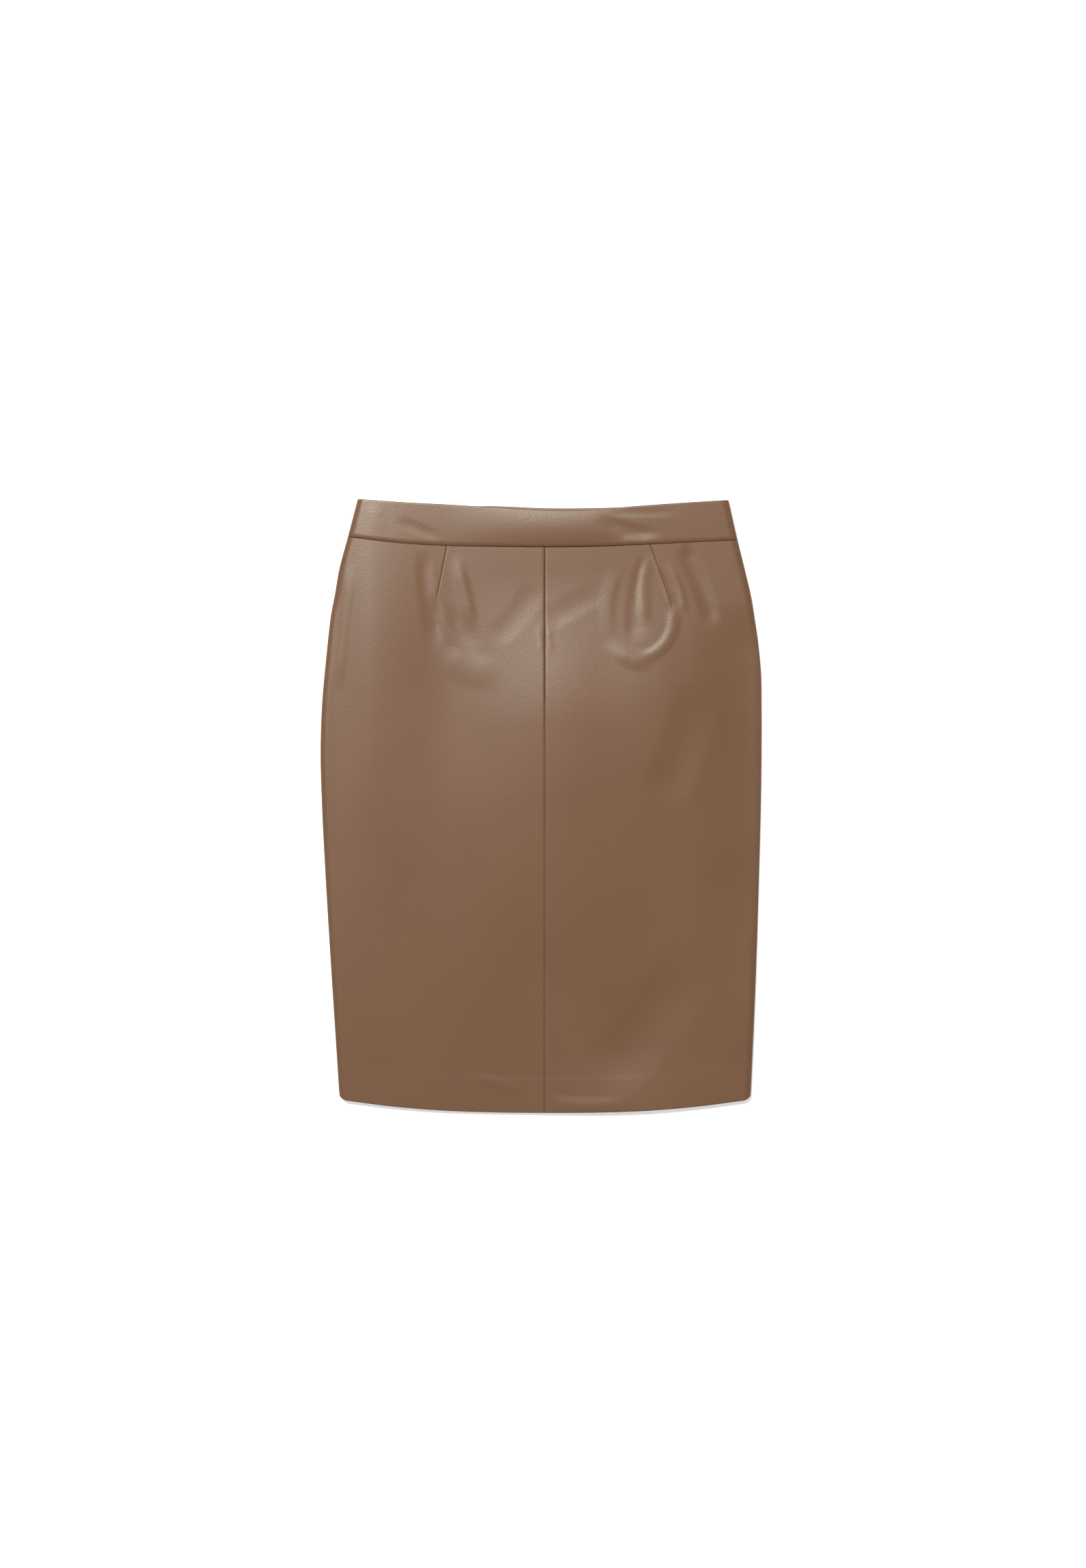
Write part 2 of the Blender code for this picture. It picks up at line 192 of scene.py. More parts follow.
frontCreases = {
    "leftEdgeRoll": crease(
        ((-0.200, 0.258), (-0.203, 0.223), (-0.209, 0.173), (-0.213, 0.117)),
        wide=(0.011, 0.007), high=0.8, fade=(0.3, 0.2),
    ),
    "leftDartHollow": crease(
        ((-0.122, 0.268), (-0.122, 0.250), (-0.120, 0.224), (-0.115, 0.191)),
        wide=(0.010, 0.011), high=-0.7, fade=(0.4, 0.4),
    ),
    "leftDartEnd": crease(
        ((-0.112, 0.226), (-0.112, 0.202), (-0.109, 0.181), (-0.105, 0.158)),
        wide=(0.008, 0.017), high=-0.9, fade=(0.4, 0.5),
    ),
    "leftPocketRim": crease(
        ((-0.102, 0.217), (-0.103, 0.193), (-0.096, 0.171), (-0.073, 0.158)),
        wide=(0.010, 0.004), high=0.3, fade=(0.4, 0.5),
    ),
    "leftPocketRidge": crease(
        ((-0.090, 0.264), (-0.084, 0.241), (-0.077, 0.215), (-0.070, 0.181)),
        wide=(0.009, 0.010), high=0.8, fade=(0.4, 0.3),
    ),
    "leftPocketFloor": crease(
        ((-0.096, 0.216), (-0.091, 0.191), (-0.080, 0.173), (-0.059, 0.166)),
        wide=(0.013, 0.013), high=-0.4, fade=(0.4, 0.4),
    ),
    "leftPocketFoot": crease(
        ((-0.101, 0.165), (-0.087, 0.145), (-0.064, 0.137), (-0.035, 0.141)),
        wide=(0.020, 0.024), high=0.5, fade=(0.3, 0.4),
    ),
    "rightPocketHollow": crease(
        ((0.113, 0.264), (0.098, 0.234), (0.093, 0.202), (0.097, 0.168)),
        wide=(0.017, 0.010), high=-0.5, fade=(0.2, 0.2),
    ),
    "rightPocketSide": crease(
        ((0.085, 0.253), (0.069, 0.224), (0.067, 0.193), (0.076, 0.170)),
        wide=(0.008, 0.014), high=0.3, fade=(0.3, 0.4),
    ),
    "rightPocketRidge": crease(
        ((0.114, 0.265), (0.104, 0.239), (0.102, 0.213), (0.109, 0.183)),
        wide=(0.011, 0.006), high=0.7, fade=(0.3, 0.3),
    ),
    "rightPocketLip": crease(
        ((0.135, 0.209), (0.144, 0.183), (0.128, 0.156), (0.098, 0.154)),
        wide=(0.010, 0.008), high=0.6, fade=(0.2, 0.25),
    ),
    "rightPocketFoot": crease(
        ((0.118, 0.150), (0.098, 0.149), (0.080, 0.157), (0.066, 0.175)),
        wide=(0.013, 0.014), high=0.8, fade=(0.35, 0.5),
    ),
    "rightDartSide": crease(
        ((0.115, 0.265), (0.123, 0.246), (0.130, 0.227), (0.137, 0.207)),
        wide=(0.003, 0.004), high=0.4, fade=(0.3, 0.2),
    ),
    "rightDartFold": crease(
        ((0.130, 0.255), (0.141, 0.239), (0.148, 0.220), (0.149, 0.200)),
        wide=(0.006, 0.004), high=0.5, fade=(0.35, 0.2),
    ),
    "rightStreak": crease(
        ((0.147, 0.274), (0.161, 0.249), (0.173, 0.219), (0.181, 0.184)),
        wide=(0.011, 0.014), high=-1.1, fade=(0.2, 0.2),
    ),
    "crownEdgeRight": crease(
        ((0.004, 0.189), (0.026, 0.203), (0.047, 0.216), (0.072, 0.224)),
        wide=(0.018, 0.014), high=-0.3, fade=(0.2, 0.4),
    ),
    "crownEdgeLeft": crease(
        ((-0.056, 0.171), (-0.038, 0.181), (-0.019, 0.202), (-0.003, 0.234)),
        wide=(0.016, 0.017), high=-0.3, fade=(0.3, 0.2),
    ),
    "centrePuckerLeft": crease(
        ((-0.003, 0.191), (0.000, 0.181), (0.001, 0.170), (0.001, 0.156)),
        wide=(0.003, 0.005), high=0.2, fade=(0.35, 0.35),
    ),
    "centrePuckerRight": crease(
        ((0.008, 0.189), (0.007, 0.177), (0.008, 0.168), (0.012, 0.155)),
        wide=(0.005, 0.004), high=0.2, fade=(0.35, 0.35),
    ),
    "rightSideHollow": crease(
        ((0.161, 0.131), (0.159, 0.088), (0.145, 0.046), (0.118, 0.000)),
        wide=(0.030, 0.027), high=-1.1, fade=(0.3, 0.2),
    ),
    "rightHemFold": crease(
        ((0.055, -0.287), (0.096, -0.251), (0.135, -0.202), (0.170, -0.135)),
        wide=(0.035, 0.041), high=-1.2, fade=(0.2, 0.4),
    ),
    "leftHemLine": crease(
        ((-0.074, -0.278), (-0.055, -0.285), (-0.035, -0.292), (-0.014, -0.298)),
        wide=(0.007, 0.010), high=0.3, fade=(0.3, 0.3),
    ),
    "rightHemLine": crease(
        ((0.006, -0.307), (0.028, -0.312), (0.058, -0.314), (0.096, -0.308)),
        wide=(0.010, 0.016), high=0.6, fade=(0.3, 0.25),
    ),
}

pathSteps = 48  # points along a crease


def creaseHeight(mark, x, y):
    path = np.array(mark["path"])
    t = np.linspace(0.0, 1.0, pathSteps)[:, None]
    degree = len(path) - 1
    line = sum(math.comb(degree, i) * t**i * (1 - t) ** (degree - i) * path[i] for i in range(degree + 1))
    lowX, lowY = line.min(axis=0) - max(mark["wide"])
    highX, highY = line.max(axis=0) + max(mark["wide"])
    near = (x > lowX) & (x < highX) & (y > lowY) & (y < highY)
    height = np.zeros(x.shape)
    if not near.any():
        return height
    offX = x[near][:, None] - line[:, 0]
    offY = y[near][:, None] - line[:, 1]
    nearest = np.argmin(offX**2 + offY**2, axis=1)
    pick = np.arange(len(nearest))
    offX, offY = offX[pick, nearest], offY[pick, nearest]
    way = np.gradient(line, axis=0)
    way /= np.linalg.norm(way, axis=1, keepdims=True)
    wayX, wayY = way[nearest].T
    aside = wayX * offY - wayY * offX
    ahead = wayX * offX + wayY * offY
    inside = (nearest > 0) & (nearest < len(line) - 1)
    away = np.where(inside, np.abs(aside), np.hypot(offX, offY))
    wide = np.where(aside > 0, mark["wide"][0], mark["wide"][1])
    profile = (1.0 - np.clip(away / wide, 0.0, 1.0) ** 2) ** 2
    pace = np.linalg.norm(np.gradient(line, axis=0), axis=1)[nearest] * (len(line) - 1)
    along = np.clip(t[nearest, 0] + np.where(inside, ahead / pace, 0.0), 0.0, 1.0)
    fadeIn, fadeOut = mark["fade"]
    ends = smoothStep(along / fadeIn) * smoothStep((1.0 - along) / fadeOut)
    height[near] = mark["high"] / 1000 * profile * ends
    return height


def restingOnBack(z, wall):
    lowest = (2 * wall + skirt["seamGap"])[:, None]
    above = z - lowest
    return lowest + (above + np.sqrt(above**2 + skirt["settle"] ** 2)) / 2


def foldRise(turn):
    # a quarter of an ellipse, from the side seam round the fold
    return np.sqrt(1.0 - (1.0 - turn) ** 2)


def sinkOnRight(x, down):
    start, comesIn = skirt["rightSinkIn"]
    end, goesOut = skirt["rightSinkOut"]
    share = smoothStep((down - start) / comesIn) * smoothStep((end - down) / goesOut)
    fromRight = sidesAt(down)[1][:, None] - x
    return skirt["rightSink"] * share[:, None] * (1.0 - smoothStep(fromRight / skirt["rightSinkReach"]))


def frontPoints(x, down, wall):
    _, turn, edge, y = rowPlaces(x, down)
    seam = skirt["sideSeamHeight"] + skirt["seamGap"] / 2
    z = seam + (skirt["foldTop"] - seam - sinkOnRight(x, down)) * foldRise(turn)
    z = z + sum(broadHeight(form, x, y) for form in broadForms.values())
    relief = sum(creaseHeight(mark, x, y) for mark in frontCreases.values())
    z = z + relief * smoothStep(edge / skirt["reliefFade"])
    z = z + smoothStep(turn) * (restingOnBack(z, wall) - z)
    return np.stack([x, y, z], axis=-1)


def backPoints(x, down):
    _, turn, _, y = rowPlaces(x, down, "backTop")
    seam = skirt["sideSeamHeight"] - skirt["seamGap"] / 2
    return np.stack([x, y, seam * (1.0 - foldRise(turn))], axis=-1)


def inwardNormals(points, facing, seams):
    # walls stay upright at the top and hem edges and at centre seams, and level at side seams
    normal = np.cross(np.gradient(points, axis=1), np.gradient(points, axis=0))
    normal *= -facing * np.sign(normal[..., 2].mean())
    normal[0, :, 1] = 0.0
    normal[-1, :, 1] = 0.0
    for column, seam in seams.items():
        normal[:, column, 2 if seam == "side" else 0] = 0.0
    return normal / np.linalg.norm(normal, axis=-1, keepdims=True)


def turnedEdge(distance, radius):
    # 1 at a turned edge, easing to 0 a radius away from it, as a quarter circle
    near = 1.0 - np.clip(distance / radius, 0.0, 1.0)
    return 1.0 - np.sqrt(1.0 - near**2)


def cutEdge(distance, wall):
    # how far each face draws in where a hem or top edge is rounded
    return turnedEdge(distance, wall / 2)[:, None] * skirt["edgeRound"] * wall


def stretch(start, end, step, fineStart=(), fineEnd=()):
    # stations from start to end about a step apart, with finer ones at either end
    first = start + max(fineStart, default=0.0)
    last = end - max(fineEnd, default=0.0)
    count = max(2, round((last - first) / step) + 1)
    fine = [start + d for d in (0.0, *fineStart)] + [end - d for d in (0.0, *fineEnd)]
    return np.unique(np.round(np.concatenate([np.linspace(first, last, count), fine]), 7))


# How far from a seam or a cut edge the finer rows and columns lie.
seamSteps = (0.00015, 0.0004, 0.0008, 0.0014, 0.0024, 0.0040)
edgeSteps = (0.0001, 0.0003, 0.0006, 0.0010, 0.0018, 0.0030)

rowSpacing = {
    "dartsDown": 0.190,  # rows are closer down to here, beside the darts
    "turnUpReach": 0.006,  # and again this near the top of the turned-up hem
    "turnUpStep": 0.0012,
    "step": 0.0025,  # in the hem, below that
}


def bodyRows(step, lowerStep):
    waistSeam = skirt["bandHeight"] + skirt["seamGap"]
    dartsDown = rowSpacing["dartsDown"]
    aboveTurnUp = turnUpDown - rowSpacing["turnUpReach"]
    belowTurnUp = turnUpDown + rowSpacing["turnUpReach"]
    parts = [
        stretch(waistSeam, dartsDown, step, seamSteps),
        stretch(dartsDown, aboveTurnUp, lowerStep),
        stretch(aboveTurnUp, belowTurnUp, rowSpacing["turnUpStep"]),
        stretch(belowTurnUp, hemDown, rowSpacing["step"], (), edgeSteps),
    ]
    return np.unique(np.concatenate(parts))


def bodyWall(down):
    thicker = smoothStep((down - turnUpDown) / skirt["hemWallReach"] + 0.5)
    return skirt["cloth"] + (skirt["hemWall"] - skirt["cloth"]) * thicker


def dartColumn(dart, down, side, until):
    # x of the dart's line in each row; below its tip it keeps its share of the panel's width
    (topX, topDartY), (tipX, tipY) = dart["top"], dart["tip"]
    left, right = sidesAt(down)
    x = np.full(len(down), topX)
    for _ in range(3):  # x and y settle each other
        across = (2 * x - left - right) / (right - left)
        y = topY - down - dipOf(across, down)
        x = topX + (tipX - topX) * (topDartY - y) / (topDartY - tipY)
    edge = left if side < 0 else right
    above = y >= tipY
    lastRow = np.flatnonzero(above)[-1]
    share = (x[lastRow] - edge[lastRow]) / (until - edge[lastRow])
    return np.where(above, x, edge + share * (until - edge)), above, y


def panelColumns(down, side, until, step, dart=None):
    # x along each row, from the side edge round its fold to the dart and on to the centre
    edge = sidesAt(down)[0 if side < 0 else 1]
    reach = skirt["foldReach"]
    turn = np.linspace(0.0, math.pi / 2, skirt["foldColumns"])
    columns = [edge - side * reach * (1.0 - math.cos(a)) for a in turn]
    anchors = [edge - side * reach]
    if dart:
        anchors.append(dartColumn(dart, down, side, until)[0])
    anchors.append(np.full(len(down), until))
    for i, (a, b) in enumerate(zip(anchors, anchors[1:])):
        span = np.abs(b - a)
        middle = float(span.mean())
        marks = stretch(0.0, middle, step, seamSteps if i else (), seamSteps)[1:]
        fromA = marks[:, None] * np.ones(len(down))
        fromB = span - (middle - marks)[:, None]
        blend = smoothStep(marks / middle)[:, None]
        columns += list(a - side * (fromA + blend * (fromB - fromA)))
    return np.stack(columns, axis=1)


def alongRow(points):
    # distance of each point from the side seam, along its row
    steps = np.linalg.norm(np.diff(points, axis=1), axis=-1)
    return np.hstack([np.zeros((len(points), 1)), np.cumsum(steps, axis=1)])


def clothShell(name, points, wall, facing, seams, outerDrop, innerDrop, innerCoated):
    # a closed wall of cloth, each of whose faces draws in by its drop: material 0 is its coated
    # side, and material 1 its backing, in the rows where innerCoated is false
    inward = inwardNormals(points, facing, seams)
    outside = points + inward * outerDrop[..., None]
    inside = points + inward * (wall[:, None] - innerDrop)[..., None]
    rows, columns = points.shape[:2]
    count = rows * columns
    index = np.arange(count).reshape(rows, columns)
    quads = np.stack([index[:-1, :-1], index[:-1, 1:], index[1:, 1:], index[1:, :-1]], axis=-1)
    quads = quads.reshape(-1, 4)
    rim = np.concatenate([index[0], index[1:, -1], index[-1, -2::-1], index[-2:0:-1, 0]])
    after = np.roll(rim, -1)
    sides = np.stack([after, rim, rim + count, after + count], axis=1)
    faces = np.concatenate([quads, quads[:, ::-1] + count, sides])
    places = np.concatenate([outside.reshape(-1, 3), inside.reshape(-1, 3)])
    a, b, c, d = (places[faces[:, i]] for i in range(4))
    volume = (a * (np.cross(b, c) + np.cross(c, d))).sum()
    if volume < 0:  # its faces point in
        faces = faces[:, ::-1]
    mesh = bpy.data.meshes.new(name)
    mesh.from_pydata(places.tolist(), [], faces.tolist())
    innerFinish = np.repeat(~innerCoated[:-1], columns - 1)
    finish = np.concatenate([np.zeros(len(quads)), innerFinish, np.zeros(len(sides))]).astype(np.int32)
    mesh.polygons.foreach_set("material_index", finish)
    mesh.shade_smooth()
    mesh.set_sharp_from_angle(angle=math.radians(skirt["sharpAngle"]))
    mesh.materials.append(coatedCloth)
    mesh.materials.append(knitBacking)
    made = bpy.data.objects.new(name + "_cloth", mesh)
    bpy.context.scene.collection.objects.link(made)
    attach(made, "root")
    return made


def addNode(nodes, kind, place, **settings):
    node = nodes.new(kind)
    node.location = place
    for key, value in settings.items():
        setattr(node, key, value)
    return node


def newMaterial(name):
    made = bpy.data.materials.new(name)
    made.use_nodes = True
    return made, made.node_tree.nodes, made.node_tree.links, made.node_tree.nodes["Principled BSDF"]


coating = {
    "deepBrown": (0.137, 0.0636, 0.030, 1.0),
    "paleBrown": (0.151, 0.0705, 0.034, 1.0),
    "mottleScale": 9.0,  # soft patches of colour, per metre
    "mottleDetail": 3.0,
    "mottleSpread": (0.3, 0.7),
    "roughest": 0.39,
    "smoothest": 0.33,
    "specular": 0.5,
    "grainScale": 1300.0,
    "grainDetail": 2.0,
    "grainDepth": 0.00003,
    "pebbleScale": 420.0,
    "pebbleDepth": 0.00004,
}


def makeCoatedCloth(look):
    made, nodes, links, shader = newMaterial("coatedCloth")
    where = addNode(nodes, "ShaderNodeTexCoord", (-1300, 0))
    mottle = addNode(nodes, "ShaderNodeTexNoise", (-1000, 300))
    mottle.inputs["Scale"].default_value = look["mottleScale"]
    mottle.inputs["Detail"].default_value = look["mottleDetail"]
    colour = addNode(nodes, "ShaderNodeValToRGB", (-700, 300))
    deep, pale = colour.color_ramp.elements
    deep.position, pale.position = look["mottleSpread"]
    deep.color = look["deepBrown"]
    pale.color = look["paleBrown"]
    grain = addNode(nodes, "ShaderNodeTexNoise", (-1000, -100))
    grain.inputs["Scale"].default_value = look["grainScale"]
    grain.inputs["Detail"].default_value = look["grainDetail"]
    pebble = addNode(nodes, "ShaderNodeTexVoronoi", (-1000, -400), feature="SMOOTH_F1")
    pebble.inputs["Scale"].default_value = look["pebbleScale"]
    polish = addNode(nodes, "ShaderNodeMapRange", (-700, 0))
    polish.inputs["To Min"].default_value = look["smoothest"]
    polish.inputs["To Max"].default_value = look["roughest"]
    fine = addNode(nodes, "ShaderNodeBump", (-400, -150))
    fine.inputs["Distance"].default_value = look["grainDepth"]
    coarse = addNode(nodes, "ShaderNodeBump", (-650, -350))
    coarse.inputs["Distance"].default_value = look["pebbleDepth"]
    for texture in (mottle, grain, pebble):
        links.new(where.outputs["Object"], texture.inputs["Vector"])
    links.new(mottle.outputs["Fac"], colour.inputs["Fac"])
    links.new(colour.outputs["Color"], shader.inputs["Base Color"])
    links.new(grain.outputs["Fac"], polish.inputs["Value"])
    links.new(polish.outputs["Result"], shader.inputs["Roughness"])
    links.new(pebble.outputs["Distance"], coarse.inputs["Height"])
    links.new(grain.outputs["Fac"], fine.inputs["Height"])
    links.new(coarse.outputs["Normal"], fine.inputs["Normal"])
    links.new(fine.outputs["Normal"], shader.inputs["Normal"])
    shader.inputs["Specular IOR Level"].default_value = look["specular"]
    return made


backing = {
    "yarn": (0.165, 0.105, 0.070, 1.0),
    "between": (0.090, 0.055, 0.036, 1.0),
    "ribsPerMetre": 900.0,
    "unevenness": 0.6,
    "depth": 0.00012,
    "roughness": 0.85,
}


def makeKnitBacking(look):
    made, nodes, links, shader = newMaterial("knitBacking")
    where = addNode(nodes, "ShaderNodeTexCoord", (-1100, 0))
    wales = addNode(nodes, "ShaderNodeTexWave", (-850, 200), bands_direction="X")
    courses = addNode(nodes, "ShaderNodeTexWave", (-850, -150), bands_direction="Y")
    for wave in (wales, courses):
        wave.inputs["Scale"].default_value = look["ribsPerMetre"] / (2 * math.pi)
        wave.inputs["Distortion"].default_value = look["unevenness"]
        links.new(where.outputs["Object"], wave.inputs["Vector"])
    knit = addNode(nodes, "ShaderNodeMath", (-600, 0), operation="MULTIPLY")
    links.new(wales.outputs["Fac"], knit.inputs[0])
    links.new(courses.outputs["Fac"], knit.inputs[1])
    colour = addNode(nodes, "ShaderNodeMix", (-350, 150), data_type="RGBA")
    colour.inputs[6].default_value = look["between"]
    colour.inputs[7].default_value = look["yarn"]
    links.new(knit.outputs["Value"], colour.inputs["Factor"])
    bump = addNode(nodes, "ShaderNodeBump", (-350, -150))
    bump.inputs["Distance"].default_value = look["depth"]
    links.new(knit.outputs["Value"], bump.inputs["Height"])
    links.new(colour.outputs[2], shader.inputs["Base Color"])
    links.new(bump.outputs["Normal"], shader.inputs["Normal"])
    shader.inputs["Roughness"].default_value = look["roughness"]
    return made


# The finish of the zip's pieces, which keep the shapes that they have.
zipFinish = {
    "zip_tape": {
        "deep": (0.082, 0.046, 0.026, 1.0),
        "pale": (0.120, 0.070, 0.042, 1.0),
        "scale": 1400.0,
        "depth": 0.00008,
        "smoothest": 0.74,
        "roughest": 0.88,
        "metal": 0.0,
    },
    "zip_coil": {
        "deep": (0.100, 0.056, 0.032, 1.0),
        "pale": (0.140, 0.082, 0.050, 1.0),
        "scale": 700.0,
        "depth": 0.00006,
        "smoothest": 0.36,
        "roughest": 0.50,
        "metal": 0.0,
    },
    "zip_slider": {
        "deep": (0.220, 0.170, 0.120, 1.0),
        "pale": (0.330, 0.270, 0.200, 1.0),
        "scale": 300.0,
        "depth": 0.00002,
        "smoothest": 0.28,
        "roughest": 0.42,
        "metal": 1.0,
    },
}


def makeZipFinish(name, look):
    made, nodes, links, shader = newMaterial(name)
    where = addNode(nodes, "ShaderNodeTexCoord", (-1000, 0))
    grain = addNode(nodes, "ShaderNodeTexNoise", (-750, 0))
    grain.inputs["Scale"].default_value = look["scale"]
    colour = addNode(nodes, "ShaderNodeMix", (-450, 150), data_type="RGBA")
    colour.inputs[6].default_value = look["deep"]
    colour.inputs[7].default_value = look["pale"]
    polish = addNode(nodes, "ShaderNodeMapRange", (-450, -50))
    polish.inputs["To Min"].default_value = look["smoothest"]
    polish.inputs["To Max"].default_value = look["roughest"]
    bump = addNode(nodes, "ShaderNodeBump", (-450, -250))
    bump.inputs["Distance"].default_value = look["depth"]
    links.new(where.outputs["Object"], grain.inputs["Vector"])
    links.new(grain.outputs["Fac"], colour.inputs["Factor"])
    links.new(grain.outputs["Fac"], polish.inputs["Value"])
    links.new(grain.outputs["Fac"], bump.inputs["Height"])
    links.new(colour.outputs[2], shader.inputs["Base Color"])
    links.new(polish.outputs["Result"], shader.inputs["Roughness"])
    links.new(bump.outputs["Normal"], shader.inputs["Normal"])
    shader.inputs["Metallic"].default_value = look["metal"]
    return made


for name, look in zipFinish.items():
    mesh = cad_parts[name].data
    mesh.materials.clear()
    mesh.materials.append(makeZipFinish(name, look))

coatedCloth = makeCoatedCloth(coating)
knitBacking = makeKnitBacking(backing)
print("cloth materials made")


frontPanels = {
    "step": 0.0022,
    "rowStep": 0.0015,
    "lowerRowStep": 0.0040,
    "seamRadius": 0.0020,
    "seamDepth": 0.0010,
    "dartDepth": 0.0006,
    "dartRadius": 0.0014,
    "dartFade": 0.014,  # the dart's line comes in over this, up from its tip
    "hemStep": 0.00008,  # how far the doubled hem stands out
    "hemStepReach": 0.010,
    "darts": {
        -1: dict(top=(-0.0984, 0.2683), tip=(-0.1097, 0.2110)),
        1: dict(top=(0.1154, 0.2683), tip=(0.1381, 0.2039)),
    },
}


def frontPanel(name, side):
    part = frontPanels
    down = bodyRows(part["rowStep"], part["lowerRowStep"])
    wall = bodyWall(down)
    centre = skirt["centreX"] + side * skirt["seamGap"] / 2
    dart = part["darts"][side]
    x = panelColumns(down, side, centre, part["step"], dart)
    points = frontPoints(x, down, wall)
    inside = smoothStep(np.abs(x - x[:, :1]) / skirt["foldReach"])
    # the dart shows as a fine groove
    dartX, above, dartY = dartColumn(dart, down, side, centre)
    fade = np.where(above, smoothStep((dartY - dart["tip"][1]) / part["dartFade"]), 0.0)[:, None]
    points[..., 2] -= part["dartDepth"] * fade * turnedEdge(np.abs(x - dartX[:, None]), part["dartRadius"])
    # the doubled hem shows as a faint step
    inHem = smoothStep((down - turnUpDown) / part["hemStepReach"] + 0.5)[:, None]
    points[..., 2] += part["hemStep"] * inHem * inside
    fromSide = alongRow(points)
    seamDrop = np.maximum(
        turnedEdge(np.abs(x - centre), part["seamRadius"]),
        turnedEdge(fromSide, part["seamRadius"]),
    )
    hemEdge = cutEdge(down[-1] - down, wall[-1])
    outerDrop = np.maximum(part["seamDepth"] * seamDrop, hemEdge)
    innerDrop = hemEdge * np.ones(x.shape)
    seams = {0: "side", -1: "centre"}
    made = clothShell(name, points, wall, 1, seams, outerDrop, innerDrop, down > turnUpDown)
    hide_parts(name)
    return made


backPanels = {
    "step": 0.0040,
    "rowStep": 0.0030,
    "lowerRowStep": 0.0060,
    "seamRadius": 0.0014,
    "seamDepth": 0.0006,
    "dartDepth": 0.0006,
    "dartRadius": 0.0014,
    "dartFade": 0.020,
    "liftFade": 0.020,  # its creases fade out this near the side edges
    "darts": {
        -1: dict(top=(-0.0960, 0.2683), tip=(-0.1060, 0.1750)),
        1: dict(top=(0.1040, 0.2683), tip=(0.1140, 0.1750)),
    },
    "creases": {  # where it lifts a little off the floor
        "leftDartEnd": crease(
            ((-0.1060, 0.1900), (-0.1085, 0.1550), (-0.1040, 0.1250), (-0.0940, 0.0980)),
            wide=(0.0220, 0.0280), high=0.90, fade=(0.35, 0.45),
        ),
        "rightDartEnd": crease(
            ((0.1140, 0.1920), (0.1175, 0.1500), (0.1120, 0.1180), (0.1000, 0.0920)),
            wide=(0.0260, 0.0200), high=0.75, fade=(0.35, 0.50),
        ),
        "seatFold": crease(
            ((-0.0750, 0.0780), (-0.0280, 0.1020), (0.0300, 0.1060), (0.0820, 0.0840)),
            wide=(0.0260, 0.0340), high=0.80, fade=(0.40, 0.35),
        ),
        "leftHip": crease(
            ((-0.1740, 0.2080), (-0.1830, 0.1450), (-0.1800, 0.0850), (-0.1690, 0.0300)),
            wide=(0.0160, 0.0220), high=0.65, fade=(0.30, 0.40),
        ),
        "rightHip": crease(
            ((0.1700, 0.1900), (0.1790, 0.1350), (0.1770, 0.0760), (0.1640, 0.0120)),
            wide=(0.0200, 0.0150), high=0.55, fade=(0.35, 0.40),
        ),
    },
}


def backPanel(name, side):
    part = backPanels
    down = bodyRows(part["rowStep"], part["lowerRowStep"])
    wall = bodyWall(down)
    centre = skirt["centreX"] + side * skirt["seamGap"] / 2
    dart = part["darts"][side]
    x = panelColumns(down, side, centre, part["step"], dart)
    points = backPoints(x, down)
    lift = sum(creaseHeight(mark, x, points[..., 1]) for mark in part["creases"].values())
    points[..., 2] += lift * smoothStep(np.abs(x - x[:, :1]) / part["liftFade"])
    dartX, above, dartY = dartColumn(dart, down, side, centre)
    fade = np.where(above, smoothStep((dartY - dart["tip"][1]) / part["dartFade"]), 0.0)[:, None]
    dartDrop = part["dartDepth"] * fade * turnedEdge(np.abs(x - dartX[:, None]), part["dartRadius"])
    seamDrop = np.maximum(
        turnedEdge(np.abs(x - centre), part["seamRadius"]),
        turnedEdge(alongRow(points), part["seamRadius"]),
    )
    seamDrop = np.maximum(seamDrop, turnedEdge(down - down[0], part["seamRadius"])[:, None])
    hemEdge = cutEdge(down[-1] - down, wall[-1])
    outerDrop = np.maximum(np.maximum(part["seamDepth"] * seamDrop, hemEdge), dartDrop)
    innerDrop = hemEdge * np.ones(x.shape)
    seams = {0: "side", -1: "centre"}
    made = clothShell(name, points, wall, -1, seams, outerDrop, innerDrop, down > turnUpDown)
    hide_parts(name)
    return made


frontBand = {
    "step": 0.0022,
    "rowStep": 0.0012,
    "roll": 0.0016,  # it bulges between its two edges, most a little right of the middle
    "rollMiddle": 0.018,
    "rollReach": 0.092,
    "lean": 0.0009,  # and its top edge stands this much higher
    "stand": 0.0011,  # its lower edge stands this much above the panels
    "seamRadius": 0.0048,
    "seamDepth": 0.0012,
    "tuckRadius": 0.0028,  # right at the seam it turns under
    "tuckDepth": 0.0009,
    "sideRadius": 0.0015,
    "sideDepth": 0.0008,
    "creases": {
        "leftEnd": crease(
            ((-0.174, 0.318), (-0.174, 0.305), (-0.173, 0.291), (-0.168, 0.273)),
            wide=(0.016, 0.010), high=0.2, fade=(0.35, 0.45),
        ),
        "leftFold": crease(
            ((-0.151, 0.299), (-0.137, 0.292), (-0.122, 0.284), (-0.101, 0.278)),
            wide=(0.009, 0.008), high=-0.4, fade=(0.35, 0.35),
        ),
        "rightFold": crease(
            ((0.055, 0.301), (0.078, 0.292), (0.099, 0.285), (0.127, 0.281)),
            wide=(0.009, 0.011), high=-0.6, fade=(0.35, 0.35),
        ),
        "rightTop": crease(
            ((0.067, 0.307), (0.088, 0.304), (0.117, 0.305), (0.152, 0.307)),
            wide=(0.007, 0.006), high=-0.3, fade=(0.3, 0.4),
        ),
        "rightLip": crease(
            ((0.074, 0.270), (0.093, 0.272), (0.114, 0.273), (0.139, 0.273)),
            wide=(0.013, 0.004), high=0.9, fade=(0.35, 0.4),
        ),
    },
}


def bandRows(step):
    return stretch(0.0, skirt["bandHeight"], step, edgeSteps, seamSteps)


